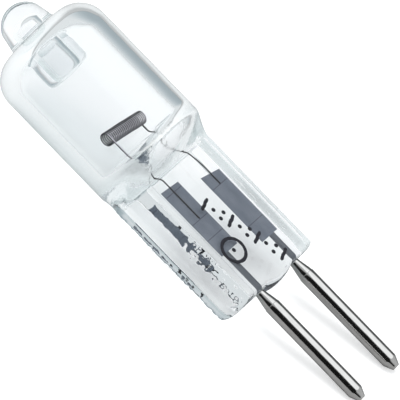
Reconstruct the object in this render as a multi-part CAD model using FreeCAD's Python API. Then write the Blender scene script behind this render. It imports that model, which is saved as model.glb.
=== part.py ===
import FreeCAD, Part
import math
import os

from FreeCAD import Vector

# Halogen capsule bulb on two pins, in millimetres.
# It is modelled upright, pins down: X from the rear pin to the front pin, Y out of the printed face,
# Z from the seal's end to the tip. At the end it is laid down as it rests on a table.

# Glass tube
tube_radius = 4.1
tube_wall = 0.95
tube_length = 10.35
shoulder_radius = 2.0
end_wall = 0.85
inner_shoulder_radius = 1.5
bowl_depth = 1.4

# Sealed exhaust stub and the end of its tube inside the bulb
stub_height = 2.3
stub_base_radius = 1.68
stub_end_radius = 1.48
stub_dome_height = 1.0
stub_root_flare = 0.3
exhaust_bore_radius = 0.73
exhaust_bore_dome_height = 0.4
exhaust_wall = 0.85
exhaust_cap = 1.25
exhaust_reach = 2.5
exhaust_lip_bevel = 0.22

# Pressed seal: a thin web between two thick rims
seal_length = 9.4
seal_width = 9.1
seal_corner_radius = 1.0
seal_end_bulge = 0.3
web_thickness = 1.7
rim_thickness = 2.6
rim_width = 2.2
rim_edge_radius = 0.7

# Neck between tube and seal, and the places round the tube that the seal's corners run up to
neck_length = 1.7
neck_corner_angles = (58.0, 46.0, 34.0, 12.0)
neck_floor_rise = 0.85

# Contact pins
pin_spacing = 4.0
pin_shift = -0.3
pin_radius = 0.525
pin_length = 9.2
pin_neck_wall = 0.06
pin_cone_length = 1.1
pin_cone_step = 0.03
pin_tip_length = 0.6
pin_tip_radius = 0.24
pin_bore_depth = 2.4

# Outer leads and the foils they are welded to
lead_radius = 0.25
lead_plane = 0.2
lead_flat = 0.03
lead_overlap = 1.3
foil_spacing = 3.4
foil_width = 1.8
foil_thickness = 0.05
foil_length = 5.4
front_foil_depth = 1.65
rear_foil_depth = 2.65
front_foil_slant = 0.12
rear_foil_slant = 0.3

# Filament: coil and legs wound from one wire, which is drawn with flat sides
wire_radius = 0.055
wire_sides = 6
coil_radius = 0.43
coil_pitch = 0.16
coil_turns = 22
coil_chords = 10
coil_rise = 3.05
coil_tilt = 6.0
front_leg_overlap = 2.7
rear_leg_overlap = 0.9
leg_bend_gap = 0.5
front_leg_cover = 0.25
rear_leg_drop = 1.0

# Sizes that follow from the ones above
inner_radius = tube_radius - tube_wall
tube_low = seal_length + neck_length
plate_height = tube_low + tube_length
tip_height = plate_height + stub_height
cavity_top = plate_height - end_wall
cavity_floor = seal_length + neck_floor_rise
exhaust_outer_radius = exhaust_bore_radius + exhaust_wall
pin_neck_radius = lead_radius + pin_neck_wall
foil_back = lead_plane + lead_radius - lead_flat
foil_front = foil_back + foil_thickness
leg_plane = foil_front + wire_radius * math.cos(math.pi / wire_sides)
front_pin_x = pin_shift + pin_spacing / 2
rear_pin_x = pin_shift - pin_spacing / 2
front_foil_x = pin_shift + foil_spacing / 2
rear_foil_x = pin_shift - foil_spacing / 2
front_foil_top = cavity_floor - front_foil_depth
rear_foil_top = cavity_floor - rear_foil_depth
coil_height = cavity_floor + coil_rise

ORIGIN = Vector(0, 0, 0)
ACROSS = Vector(1, 0, 0)
FORWARD = Vector(0, 1, 0)
UP = Vector(0, 0, 1)


def rod(radius, low, high, x=0.0, y=0.0):
    """Round bar along Z."""
    return Part.makeCylinder(radius, high - low, Vector(x, y, low), UP)


def ring_edges(shape, radius, height):
    """Circular edges about the bulb's axis with this radius and height."""
    found = []
    for edge in shape.Edges:
        curve = edge.Curve
        if isinstance(curve, Part.Circle) and abs(curve.Radius - radius) < 1e-4:
            if abs(curve.Center.z - height) < 1e-4:
                found.append(edge)
    return found


def rounded(shape, radius, *rings):
    """The shape with these rings, each a radius and a height, filleted."""
    edges = [edge for ring in rings for edge in ring_edges(shape, *ring)]
    return shape.makeFillet(radius, edges)


def bevelled(shape, size, *rings):
    """The shape with these rings, each a radius and a height, bevelled or flared."""
    edges = [edge for ring in rings for edge in ring_edges(shape, *ring)]
    return shape.makeChamfer(size, edges)


def within(size, room):
    """A fillet's or bevel's size, kept inside the wall that it eases."""
    return min(size, room * 0.95)


def cap(radius, rim_height, rise):
    """Spherical cap on a level round rim, rising from it, or sunk below it where the rise is negative."""
    ball_radius = (radius * radius + rise * rise) / (2 * abs(rise))
    centre_height = rim_height + rise - math.copysign(ball_radius, rise)
    ball = Part.makeSphere(ball_radius, Vector(0, 0, centre_height))
    return ball.common(rod(radius, min(rim_height, rim_height + rise), max(rim_height, rim_height + rise)))


# Outside of the tube

def tube_outside():
    """Tube, shouldered end plate and domed exhaust stub."""
    shoulder = within(shoulder_radius, tube_radius - stub_base_radius - stub_root_flare)
    tube = rounded(rod(tube_radius, tube_low, plate_height), shoulder, (tube_radius, plate_height))
    side = stub_height - stub_dome_height
    stub = Part.makeCone(stub_base_radius, stub_end_radius, side, Vector(0, 0, plate_height), UP)
    dome = cap(stub_end_radius, plate_height + side, stub_dome_height)
    return bevelled(tube.fuse(stub), stub_root_flare, (stub_base_radius, plate_height)).fuse(dome)


# Hollow of the tube

def tube_hollow():
    """Burning chamber, less the end of the exhaust tube, plus the bore of that tube."""
    bowl_rim = cavity_floor + bowl_depth
    chamber = rod(inner_radius, bowl_rim, cavity_top)
    chamber = rounded(chamber, inner_shoulder_radius, (inner_radius, cavity_top))
    chamber = chamber.fuse(cap(inner_radius, bowl_rim, -bowl_depth))
    lip_height = cavity_top - exhaust_reach
    bore_dome_low = tip_height - exhaust_cap - exhaust_bore_dome_height
    nozzle = rod(exhaust_outer_radius, lip_height, cavity_top)
    nozzle = nozzle.cut(rod(exhaust_bore_radius, lip_height, cavity_top))
    nozzle = bevelled(nozzle, within(exhaust_lip_bevel, exhaust_wall / 2),
                      (exhaust_outer_radius, lip_height), (exhaust_bore_radius, lip_height))
    bore = rod(exhaust_bore_radius, cavity_top - exhaust_reach / 2, bore_dome_low)
    bore = bore.fuse(cap(exhaust_bore_radius, bore_dome_low, exhaust_bore_dome_height))
    return chamber.cut(nozzle).fuse(bore)


# Section of the seal and of the neck above it

def seal_quarter():
    """Front right quarter of the seal's section, as runs of start, middle and end points."""
    web, rim, half = web_thickness / 2, rim_thickness / 2, seal_width / 2
    edge = within(rim_edge_radius, rim)
    web_end, crest = half - rim_width, half - edge
    rise, run = (rim - web) / 2, (crest - web_end) / 2
    swing = (run * run + rise * rise) / (2 * rise)
    lean = math.asin(run / swing) / 2
    bow_x, bow_y = swing * math.sin(lean), swing * (1 - math.cos(lean))
    bend = edge * math.sqrt(0.5)
    turning = (web_end + run, web + rise)
    return [
        ((0.0, web), (web_end / 2, web), (web_end, web)),
        ((web_end, web), (web_end + bow_x, web + bow_y), turning),
        (turning, (crest - bow_x, rim - bow_y), (crest, rim)),
        ((crest, rim), (crest + bend, rim - edge + bend), (half, rim - edge)),
        ((half, rim - edge), (half, (rim - edge) / 2), (half, 0.0)),
    ]


def tube_quarter():
    """The same runs on the round tube."""
    stops = (90.0,) + neck_corner_angles + (0.0,)
    runs = []
    for first, last in zip(stops, stops[1:]):
        angles = [math.radians(angle) for angle in (first, (first + last) / 2, last)]
        runs.append([(tube_radius * math.cos(a), tube_radius * math.sin(a)) for a in angles])
    return runs


def curve_through(start, middle, end):
    """Arc through three points, or the straight line where they are in line."""
    if abs((middle - start).cross(end - start).z) < 1e-6:
        return Part.makeLine(start, end)
    return Part.Arc(start, middle, end).toShape()


def section_wire(blend, height):
    """Closed outline at one height, from the round tube (0) to the pressed seal (1)."""
    quarter = []
    for round_run, seal_run in zip(tube_quarter(), seal_quarter()):
        quarter.append([((1 - blend) * a[0] + blend * b[0], (1 - blend) * a[1] + blend * b[1])
                        for a, b in zip(round_run, seal_run)])
    runs = list(quarter)
    runs += [[(x, -y) for x, y in reversed(run)] for run in reversed(quarter)]
    runs += [[(-x, -y) for x, y in run] for run in quarter]
    runs += [[(-x, y) for x, y in reversed(run)] for run in reversed(quarter)]
    return Part.Wire([curve_through(*[Vector(x, y, height) for x, y in run]) for run in runs])


def smooth_step(value):
    """Zero to one with level ends."""
    return value * value * (3 - 2 * value)


def neck():
    """Glass drawn down from the round tube to the pressed seal."""
    steps = 4
    sections = []
    for step in range(steps + 1):
        share = step / steps
        sections.append(section_wire(1 - smooth_step(share), seal_length + neck_length * share))
    return Part.makeLoft(sections, True, False)


# Seal

def chain(points):
    """Closed wire of straight lines, with an arc through each middle point that is marked True."""
    edges = []
    index = 0
    while index < len(points) - 1:
        span = 2 if points[index + 1][1] else 1
        ends = [points[index + offset][0] for offset in range(span + 1)]
        edges.append(Part.makeLine(*ends) if span == 1 else Part.Arc(*ends).toShape())
        index += span
    return Part.Wire(edges)


def seal_front_view():
    """Front view of the seal: rounded corners and a bulge between the pins."""
    half, corner = seal_width / 2, seal_corner_radius
    turn = corner * (1 - math.sqrt(0.5))
    outer = half + corner
    front_foot, rear_foot = front_pin_x - pin_radius, rear_pin_x + pin_radius
    outline = [(outer, seal_length, False), (outer, corner, False), (half, corner, False),
               (half - turn, turn, True), (half - corner, 0, False), (front_foot, 0, False),
               (pin_shift, -seal_end_bulge, True), (rear_foot, 0, False), (corner - half, 0, False),
               (turn - half, turn, True), (-half, corner, False), (-outer, corner, False),
               (-outer, seal_length, False), (outer, seal_length, False)]
    return Part.Face(chain([(Vector(x, 0, z), middle) for x, z, middle in outline]))


def pressed_seal():
    """Seal with its web and rims, trimmed to its front view."""
    block = Part.Face(section_wire(1, seal_length)).extrude(UP * -(seal_length + seal_end_bulge))
    front_view = seal_front_view()
    front_view.translate(FORWARD * -rim_thickness)
    return block.common(front_view.extrude(FORWARD * rim_thickness * 2))


def glass_envelope(embedded):
    """Tube, neck and seal in one piece of glass, moulded round what it holds."""
    body = tube_outside().fuse([neck(), pressed_seal()])
    return body.cut([tube_hollow()] + embedded)


# Filament

def coil_points():
    """Points along the coil, from its front end to its rear end."""
    half_length = coil_pitch * (coil_turns + 0.5) / 2
    tilt = math.radians(coil_tilt)
    points = []
    for step in range(coil_turns * coil_chords + coil_chords // 2 + 1):
        turn = step / coil_chords
        angle = 2 * math.pi * turn
        along, above = half_length - coil_pitch * turn, coil_radius * math.sin(angle)
        points.append(Vector(along * math.cos(tilt) - above * math.sin(tilt), coil_radius * math.cos(angle),
                             coil_height + along * math.sin(tilt) + above * math.cos(tilt)))
    return points


def leg_points(foil_x, end_height, bend_low, bend_high, coil_end):
    """Points up one leg: straight on its foil, an easy bend, then up to below the coil's end."""
    steps = 6
    points = [Vector(foil_x, leg_plane, end_height)]
    for step in range(steps + 1):
        share = step / steps
        ease = smooth_step(share)
        points.append(Vector(foil_x + (coil_end.x - foil_x) * ease, leg_plane + (coil_end.y - leg_plane) * ease,
                             bend_low + (bend_high - bend_low) * share))
    return points


def wire_section(point, along):
    """Outline of the wire at one point, with one corner towards X."""
    side = (ACROSS - along * ACROSS.dot(along)).normalize()
    other = along.cross(side)
    corners = []
    for corner in range(wire_sides + 1):
        angle = 2 * math.pi * corner / wire_sides
        corners.append(point + (side * math.cos(angle) + other * math.sin(angle)) * wire_radius)
    return Part.makePolygon(corners)


def filament():
    """Coil and both legs from one wire."""
    coil = coil_points()
    front_leg = leg_points(front_foil_x, front_foil_top - front_leg_overlap, front_foil_top + leg_bend_gap,
                           cavity_floor - front_leg_cover, coil[0])
    rear_leg = leg_points(rear_foil_x, rear_foil_top - rear_leg_overlap, rear_foil_top + leg_bend_gap,
                          coil_height - rear_leg_drop, coil[-1])
    points = front_leg + coil + rear_leg[::-1]
    last = len(points) - 1
    sections = []
    for index, point in enumerate(points):
        along = (points[min(index + 1, last)] - points[max(index - 1, 0)]).normalize()
        sections.append(wire_section(point, along))
    return Part.makeLoft(sections, True, True)


# Foils, leads and pins

def foil(x, top, slant):
    """Thin foil with its top cut a little aslant, higher at the front pin's side."""
    half, bottom = foil_width / 2, top - foil_length
    corners = [(x - half, bottom), (x + half, bottom), (x + half, top + slant / 2), (x - half, top - slant / 2)]
    points = [Vector(a, foil_back, b) for a, b in corners]
    return Part.Face(Part.makePolygon(points + points[:1])).extrude(FORWARD * foil_thickness)


def lead(x, foil_strip, foil_top):
    """Outer lead, pressed flat where the foil is welded to it."""
    wire = rod(lead_radius, -pin_bore_depth, foil_top - foil_length + lead_overlap, x, lead_plane)
    return wire.cut(foil_strip)


def pin(x):
    """Contact pin: a sleeve swaged onto the lead, with a tapered tip."""
    outline = [(lead_radius, 0), (pin_neck_radius, 0), (pin_radius - pin_cone_step, -pin_cone_length),
               (pin_radius, -pin_cone_length), (pin_radius, pin_tip_length - pin_length),
               (pin_tip_radius, -pin_length), (0, -pin_length), (0, -pin_bore_depth),
               (lead_radius, -pin_bore_depth), (lead_radius, 0)]
    profile = Part.Face(Part.makePolygon([Vector(radius, 0, z) for radius, z in outline]))
    sleeve = profile.revolve(ORIGIN, UP, 360)
    sleeve.translate(Vector(x, lead_plane, 0))
    return sleeve


# Whole bulb, laid down

def resting_tilt():
    """Angle between the bulb's axis and the table, on the tube's lower end and both pin tips."""
    drop = tube_radius - (pin_radius - lead_plane)
    return math.degrees(math.atan2(drop, tube_low + pin_length - pin_tip_length))


def laid_down(shapes):
    """Bulb on the table, tip towards -X and printed face up, with its origin under its middle."""
    for shape in shapes:
        shape.rotate(ORIGIN, ACROSS, 90)
        shape.rotate(ORIGIN, UP, -90)
        shape.rotate(ORIGIN, FORWARD, resting_tilt())
    box = Part.makeCompound(shapes).optimalBoundingBox(False, False)
    for shape in shapes:
        shape.translate(Vector(-box.Center.x, -box.Center.y, -box.ZMin))


def main():
    front_foil = foil(front_foil_x, front_foil_top, front_foil_slant)
    rear_foil = foil(rear_foil_x, rear_foil_top, rear_foil_slant)
    nodes = {
        "filament": filament(),
        "front_foil": front_foil,
        "rear_foil": rear_foil,
        "front_lead": lead(front_pin_x, front_foil, front_foil_top),
        "rear_lead": lead(rear_pin_x, rear_foil, rear_foil_top),
    }
    nodes["glass_envelope"] = glass_envelope(list(nodes.values()))
    nodes["front_pin"] = pin(front_pin_x)
    nodes["rear_pin"] = pin(rear_pin_x)
    laid_down(list(nodes.values()))
    os.makedirs("parts", exist_ok=True)
    for name, shape in nodes.items():
        shape.exportStep("parts/" + name + ".step")


main()
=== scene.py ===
"""Visual model of a halogen capsule bulb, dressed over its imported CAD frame.

Sizes are in millimetres in the bulb's own upright frame: X from the rear pin to the front pin, Y out of
the printed face, Z from the seal's end to the tip. RestPose lays every point down as the CAD part lies.
"""

import logging
import math
from dataclasses import dataclass, field
from enum import Enum
from typing import Callable, Sequence

import bmesh
import bpy
from mathutils import Matrix, Vector, noise


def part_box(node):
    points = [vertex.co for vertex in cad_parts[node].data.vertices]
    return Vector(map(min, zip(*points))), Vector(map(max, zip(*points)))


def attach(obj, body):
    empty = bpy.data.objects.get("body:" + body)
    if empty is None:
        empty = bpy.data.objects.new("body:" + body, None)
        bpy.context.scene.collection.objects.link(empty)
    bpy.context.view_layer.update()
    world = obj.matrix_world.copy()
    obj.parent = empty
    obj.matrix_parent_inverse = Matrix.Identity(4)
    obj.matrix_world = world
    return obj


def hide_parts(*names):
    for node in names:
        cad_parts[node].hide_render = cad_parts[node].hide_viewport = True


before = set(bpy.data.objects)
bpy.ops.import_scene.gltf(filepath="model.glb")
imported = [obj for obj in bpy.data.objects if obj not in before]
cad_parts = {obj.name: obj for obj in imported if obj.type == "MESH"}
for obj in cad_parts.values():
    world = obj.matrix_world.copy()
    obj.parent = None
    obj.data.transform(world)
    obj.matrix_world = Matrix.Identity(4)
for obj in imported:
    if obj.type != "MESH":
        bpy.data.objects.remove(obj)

LOG = logging.getLogger("capsule_bulb")
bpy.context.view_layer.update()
MM = 0.001
WELD_DISTANCE = 1e-7
Pair = tuple[float, float]
Point = tuple[float, float, float]
Colour = tuple[float, float, float]
Socket = bpy.types.NodeSocket


def smooth(value: float) -> float:
    """Zero to one with level ends, held outside that range."""
    value = min(max(value, 0.0), 1.0)
    return value * value * (3.0 - 2.0 * value)


def mix(first: float, last: float, share: float) -> float:
    """Straight mix of two numbers."""
    return first + (last - first) * share


# Sizes that more than one piece needs

@dataclass(frozen=True)
class BulbSizes:
    """Sizes shared by the glass and what it holds, in millimetres."""

    tube_radius: float = 4.1
    tube_wall: float = 0.95
    tube_low: float = 11.1
    plate_height: float = 21.45
    tip_height: float = 23.75
    seal_top: float = 9.4
    seal_half: float = 4.55
    web_half: float = 0.85
    cavity_floor: float = 10.25
    bowl_depth: float = 1.4
    pin_radius: float = 0.525
    pin_length: float = 9.2
    pin_tip_length: float = 0.6
    pin_tip_radius: float = 0.24
    pin_shift: float = -0.3
    pin_half_spacing: float = 2.0
    lead_radius: float = 0.25
    lead_plane: float = 0.2
    foil_back: float = 0.42
    foil_thickness: float = 0.05
    wire_radius: float = 0.055

    @property
    def front_pin_x(self) -> float:
        """Front pin's place across the seal."""
        return self.pin_shift + self.pin_half_spacing

    @property
    def rear_pin_x(self) -> float:
        """Rear pin's place across the seal."""
        return self.pin_shift - self.pin_half_spacing


@dataclass
class RestPose:
    """How the upright bulb lies on the table: on its tube's lower end and both pin tips."""

    sizes: BulbSizes
    turn: Matrix = field(init=False)
    shift: Vector = field(init=False)

    def __post_init__(self) -> None:
        """Works out the rotation, and where the upright frame's origin comes to lie in millimetres."""
        s = self.sizes
        drop = s.tube_radius - (s.pin_radius - s.lead_plane)
        tilt = math.atan2(drop, s.tube_low + s.pin_length - s.pin_tip_length)
        self.turn = (Matrix.Rotation(tilt, 3, "Y") @ Matrix.Rotation(math.radians(-90.0), 3, "Z")
                     @ Matrix.Rotation(math.radians(90.0), 3, "X"))
        reach = self.turn @ Vector((0.0, s.lead_plane + s.pin_tip_radius, -s.pin_length))
        low = self.turn @ Vector((0.0, -s.tube_radius, s.tube_low))
        self.shift = Vector((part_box("front_pin")[1][0] / MM - reach.x, 0.0, -low.z))

    def place(self, point: Sequence[float]) -> Vector:
        """World place, in metres, of a point of the upright frame in millimetres."""
        return (self.turn @ Vector(point) + self.shift) * MM

    def direction(self, vector: Sequence[float]) -> Vector:
        """World direction of a direction in the upright frame."""
        return (self.turn @ Vector(vector)).normalized()


# Meshes

@dataclass
class MeshPiece:
    """Mesh that is gathered in upright millimetres and then laid down."""

    name: str
    pose: RestPose
    points: list[Point] = field(default_factory=list)
    faces: list[tuple[int, ...]] = field(default_factory=list)

    def add_rings(self, rings: Sequence[Sequence[Point]]) -> list[list[int]]:
        """Skin between rings of equally many points, each of which joins up with itself.

        Args:
            rings: Rings of points, from one end to the other.

        Returns:
            The rings' point numbers.
        """
        numbers = []
        for ring in rings:
            start = len(self.points)
            self.points.extend(tuple(point) for point in ring)
            numbers.append(list(range(start, start + len(ring))))
        for lower, upper in zip(numbers, numbers[1:]):
            for index in range(len(lower)):
                after = (index + 1) % len(lower)
                self.faces.append((lower[index], lower[after], upper[after], upper[index]))
        return numbers

    def add_fan(self, ring: Sequence[int], centre: Point) -> None:
        """Closes a ring with triangles to a middle point.

        Args:
            ring: The ring's point numbers.
            centre: Middle point.
        """
        middle = len(self.points)
        self.points.append(tuple(centre))
        for index, number in enumerate(ring):
            self.faces.append((number, ring[(index + 1) % len(ring)], middle))

    def build(self, material: bpy.types.Material, crease: float = 40.0) -> bpy.types.Object:
        """Makes the object, with the upright place of each point kept for its material.

        Args:
            material: Finish of the whole piece.
            crease: Angle in degrees above which an edge stays sharp.

        Returns:
            The new object, in the scene.
        """
        mesh = bpy.data.meshes.new(self.name)
        mesh.from_pydata([self.pose.place(point) for point in self.points], [], self.faces)
        store = mesh.attributes.new("upright", "FLOAT_VECTOR", "POINT")
        store.data.foreach_set("vector", [value for point in self.points for value in point])
        work = bmesh.new()
        work.from_mesh(mesh)
        bmesh.ops.remove_doubles(work, verts=work.verts, dist=WELD_DISTANCE)
        bmesh.ops.recalc_face_normals(work, faces=work.faces)
        work.to_mesh(mesh)
        work.free()
        mesh.validate()
        for polygon in mesh.polygons:
            polygon.use_smooth = True
        mesh.set_sharp_from_angle(angle=math.radians(crease))
        mesh.materials.append(material)
        piece = bpy.data.objects.new(self.name, mesh)
        bpy.context.scene.collection.objects.link(piece)
        return piece


def circle(radius: float, height: float, count: int, x: float = 0.0, y: float = 0.0) -> list[Point]:
    """Ring about an upright line."""
    angles = [2 * math.pi * k / count for k in range(count)]
    return [(x + radius * math.cos(angle), y + radius * math.sin(angle), height) for angle in angles]


def arc_profile(centre: Pair, radius: float, start: float, end: float, count: int) -> list[Pair]:
    """Points of an arc in a profile of radius and height.

    Args:
        centre: Arc's centre as radius and height.
        radius: Arc's own radius.
        start: First angle in degrees, from outward (0) to up (90).
        end: Last angle in degrees.
        count: Number of steps.

    Returns:
        The arc's points, both ends included.
    """
    points = []
    for step in range(count + 1):
        angle = math.radians(mix(start, end, step / count))
        points.append((centre[0] + radius * math.cos(angle), centre[1] + radius * math.sin(angle)))
    return points


def cap_profile(radius: float, rim_height: float, rise: float, count: int) -> list[Pair]:
    """Points of a spherical cap's profile, from beside its middle out to its rim.

    Args:
        radius: Rim's radius.
        rim_height: Rim's height.
        rise: Height of the middle above the rim, negative for a bowl.
        count: Number of points.

    Returns:
        The points as radius and height, the middle left out.
    """
    ball = (radius * radius + rise * rise) / (2 * abs(rise))
    centre = rim_height + rise - math.copysign(ball, rise)
    reach = math.asin(min(radius / ball, 1.0))
    if abs(rise) > ball:
        reach = math.pi - reach
    angles = [reach * k / count for k in range(1, count + 1)]
    return [(ball * math.sin(a), centre + math.copysign(ball * math.cos(a), rise)) for a in angles]


def straight(first: Pair, last: Pair, count: int) -> list[Pair]:
    """Points that part the line between two places into equal steps, both ends left out."""
    return [(mix(first[0], last[0], k / count), mix(first[1], last[1], k / count)) for k in range(1, count)]


def tube_about(path: Sequence[Vector], radius: Callable[[float], float], sides: int) -> list[list[Point]]:
    """Round rings about a path, with one side of each ring kept towards X.

    Args:
        path: Middle line.
        radius: Radius at a share of the path from 0 to 1.
        sides: Points in each ring.

    Returns:
        One ring for each point of the path.
    """
    rings = []
    last = len(path) - 1
    angles = [2 * math.pi * k / sides for k in range(sides)]
    for index, point in enumerate(path):
        along = (path[min(index + 1, last)] - path[max(index - 1, 0)]).normalized()
        side = Vector((1.0, 0.0, 0.0))
        side = (side - along * side.dot(along)).normalized()
        other = along.cross(side)
        size = radius(index / last)
        rings.append([tuple(point + (side * math.cos(angle) + other * math.sin(angle)) * size)
                      for angle in angles])
    return rings


# Finishes

class NodePen:
    """Short hand for wiring one material's nodes."""

    def __init__(self, name: str) -> None:
        """Starts an empty node material with its output.

        Args:
            name: Material's name.
        """
        self.material = bpy.data.materials.new(name)
        self.material.use_nodes = True
        self.tree = self.material.node_tree
        self.tree.nodes.clear()
        self.output = self.tree.nodes.new("ShaderNodeOutputMaterial")

    @classmethod
    def over(cls, tree: bpy.types.NodeTree, output: str) -> "NodePen":
        """Pen for an existing node tree, emptied, with a new output.

        Args:
            tree: Node tree to write.
            output: Output node's type.

        Returns:
            The pen.
        """
        pen = cls.__new__(cls)
        pen.tree = tree
        tree.nodes.clear()
        pen.output = tree.nodes.new(output)
        return pen

    def node(self, kind: str, **settings: object) -> bpy.types.Node:
        """New node with its properties and input values set.

        Args:
            kind: Node type.
            settings: Properties by name, or input values by socket name with _ for a space.

        Returns:
            The new node.
        """
        made = self.tree.nodes.new(kind)
        for name, value in settings.items():
            if hasattr(made, name):
                setattr(made, name, value)
            else:
                made.inputs[name.replace("_", " ")].default_value = value
        return made

    def link(self, source: Socket, target: Socket) -> None:
        """Joins two sockets."""
        self.tree.links.new(source, target)

    def place(self) -> Socket:
        """Upright place of the surface, in millimetres."""
        return self.node("ShaderNodeAttribute", attribute_name="upright").outputs["Vector"]

    def noise(self, scale: float, detail: float = 3.0, stretch: Point | None = None) -> Socket:
        """Noise over the surface's upright place.

        Args:
            scale: Noise scale per millimetre.
            detail: Levels of detail.
            stretch: Factors on X, Y and Z before the noise is taken.

        Returns:
            The noise's value socket.
        """
        place = self.place()
        if stretch:
            scaled = self.node("ShaderNodeVectorMath", operation="MULTIPLY")
            self.link(place, scaled.inputs[0])
            scaled.inputs[1].default_value = stretch
            place = scaled.outputs[0]
        made = self.node("ShaderNodeTexNoise", Scale=scale, Detail=detail)
        self.link(place, made.inputs["Vector"])
        return made.outputs["Fac"]

    def ramp(self, value: Socket, stops: Sequence[tuple[float, Colour]]) -> Socket:
        """Colour ramp over a value.

        Args:
            value: Value from 0 to 1.
            stops: Places and colours.

        Returns:
            The colour socket.
        """
        made = self.node("ShaderNodeValToRGB")
        elements = made.color_ramp.elements
        while len(elements) < len(stops):
            elements.new(0.5)
        for element, (place, colour) in zip(elements, stops):
            element.position = place
            element.color = (*colour, 1.0)
        self.link(value, made.inputs["Fac"])
        return made.outputs["Color"]

    def along(self, place: Socket, direction: Vector) -> Socket:
        """Part of a place or direction that lies along a fixed direction.

        Args:
            place: Vector socket.
            direction: Fixed direction.

        Returns:
            The dot product's socket.
        """
        made = self.node("ShaderNodeVectorMath", operation="DOT_PRODUCT")
        self.link(place, made.inputs[0])
        made.inputs[1].default_value = tuple(direction)
        return made.outputs["Value"]

    def reckon(self, operation: str, first: Socket, second: Socket | float) -> Socket:
        """Result of one Math node.

        Args:
            operation: The node's operation.
            first: Socket.
            second: Socket or number.

        Returns:
            The result's socket.
        """
        made = self.node("ShaderNodeMath", operation=operation)
        self.link(first, made.inputs[0])
        if isinstance(second, (int, float)):
            made.inputs[1].default_value = second
        else:
            self.link(second, made.inputs[1])
        return made.outputs[0]

    def times(self, first: Socket, second: Socket | float) -> Socket:
        """Product of two values."""
        return self.reckon("MULTIPLY", first, second)

    def most(self, first: Socket, second: Socket) -> Socket:
        """The larger of two values."""
        return self.reckon("MAXIMUM", first, second)

    def above(self, value: Socket, limit: float) -> Socket:
        """One where a value lies above a limit, and nought elsewhere."""
        return self.reckon("GREATER_THAN", value, limit)

    def part(self, place: Socket, axis: str) -> Socket:
        """One part, X, Y or Z, of a place."""
        made = self.node("ShaderNodeSeparateXYZ")
        self.link(place, made.inputs[0])
        return made.outputs[axis]

    def choose(self, factor: Socket, first: Socket, second: Socket) -> Socket:
        """Straight mix of two values.

        Args:
            factor: Share of the second value.
            first: Value at 0.
            second: Value at 1.

        Returns:
            The mixed value's socket.
        """
        made = self.node("ShaderNodeMix", data_type="FLOAT")
        self.link(factor, made.inputs["Factor"])
        self.link(first, made.inputs["A"])
        self.link(second, made.inputs["B"])
        return made.outputs["Result"]

    def span(self, value: Socket, source: Pair, target: Pair) -> Socket:
        """Eased and held mapping of a value.

        Args:
            value: Socket to map.
            source: Values that map to the ends.
            target: What they map to.

        Returns:
            The mapped socket.
        """
        made = self.node("ShaderNodeMapRange", interpolation_type="SMOOTHSTEP")
        self.link(value, made.inputs["Value"])
        for name, number in zip(("From Min", "From Max", "To Min", "To Max"), source + target):
            made.inputs[name].default_value = number
        return made.outputs["Result"]


@dataclass(frozen=True)
class ClearGlass:
    """Blown and pressed glass: nearly colourless, a little wavy, and open to the lamps.

    Rays that have been mirrored more often than inner_bounces pass straight through, tinted by open_tint.
    """

    name: str = "clear_glass"
    tint: Colour = (0.958, 0.966, 0.972)
    depth_tint: Colour = (0.0, 0.12, 0.2)
    density: float = 22.0
    inner_bounces: float = 0.5
    index: float = 1.47
    ripple: float = 0.02
    ripple_scale: float = 0.9
    ripple_depth: float = 0.0004
    press_marks: float = 0.16
    press_scale: float = 3.2
    press_depth: float = 0.0002
    open_tint: Colour = (0.93, 0.95, 0.95)
    neck_heights: tuple[float, float, float, float] = (9.2, 9.8, 10.9, 11.7)

    def build(self) -> bpy.types.Material:
        """Makes the glass, with press marks on its neck.

        Returns:
            The material.
        """
        pen = NodePen(self.name)
        shader = pen.node("ShaderNodeBsdfPrincipled", Roughness=0.0, IOR=self.index)
        shader.inputs["Base Color"].default_value = (*self.tint, 1.0)
        shader.inputs["Transmission Weight"].default_value = 1.0
        bump = pen.node("ShaderNodeBump", Strength=self.ripple, Distance=self.ripple_depth)
        pen.link(pen.noise(self.ripple_scale, 2.0), bump.inputs["Height"])
        height = pen.part(pen.place(), "Z")
        low, full, fading, high = self.neck_heights
        neck = pen.times(pen.span(height, (low, full), (0.0, 1.0)),
                         pen.span(height, (fading, high), (1.0, 0.0)))
        marks = pen.node("ShaderNodeBump", Strength=self.press_marks, Distance=self.press_depth)
        pen.link(pen.times(pen.noise(self.press_scale), neck), marks.inputs["Height"])
        pen.link(bump.outputs["Normal"], marks.inputs["Normal"])
        pen.link(marks.outputs["Normal"], shader.inputs["Normal"])
        clear = pen.node("ShaderNodeBsdfTransparent")
        clear.inputs["Color"].default_value = (*self.open_tint, 1.0)
        path = pen.node("ShaderNodeLightPath")
        deep = pen.above(path.outputs["Glossy Depth"], self.inner_bounces)
        blend = pen.node("ShaderNodeMixShader")
        pen.link(pen.most(path.outputs["Is Shadow Ray"], deep), blend.inputs["Fac"])
        pen.link(shader.outputs[0], blend.inputs[1])
        pen.link(clear.outputs[0], blend.inputs[2])
        pen.link(blend.outputs[0], pen.output.inputs["Surface"])
        depth = pen.node("ShaderNodeVolumeAbsorption", Density=self.density)
        depth.inputs["Color"].default_value = (*self.depth_tint, 1.0)
        pen.link(depth.outputs["Volume"], pen.output.inputs["Volume"])
        return pen.material


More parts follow.
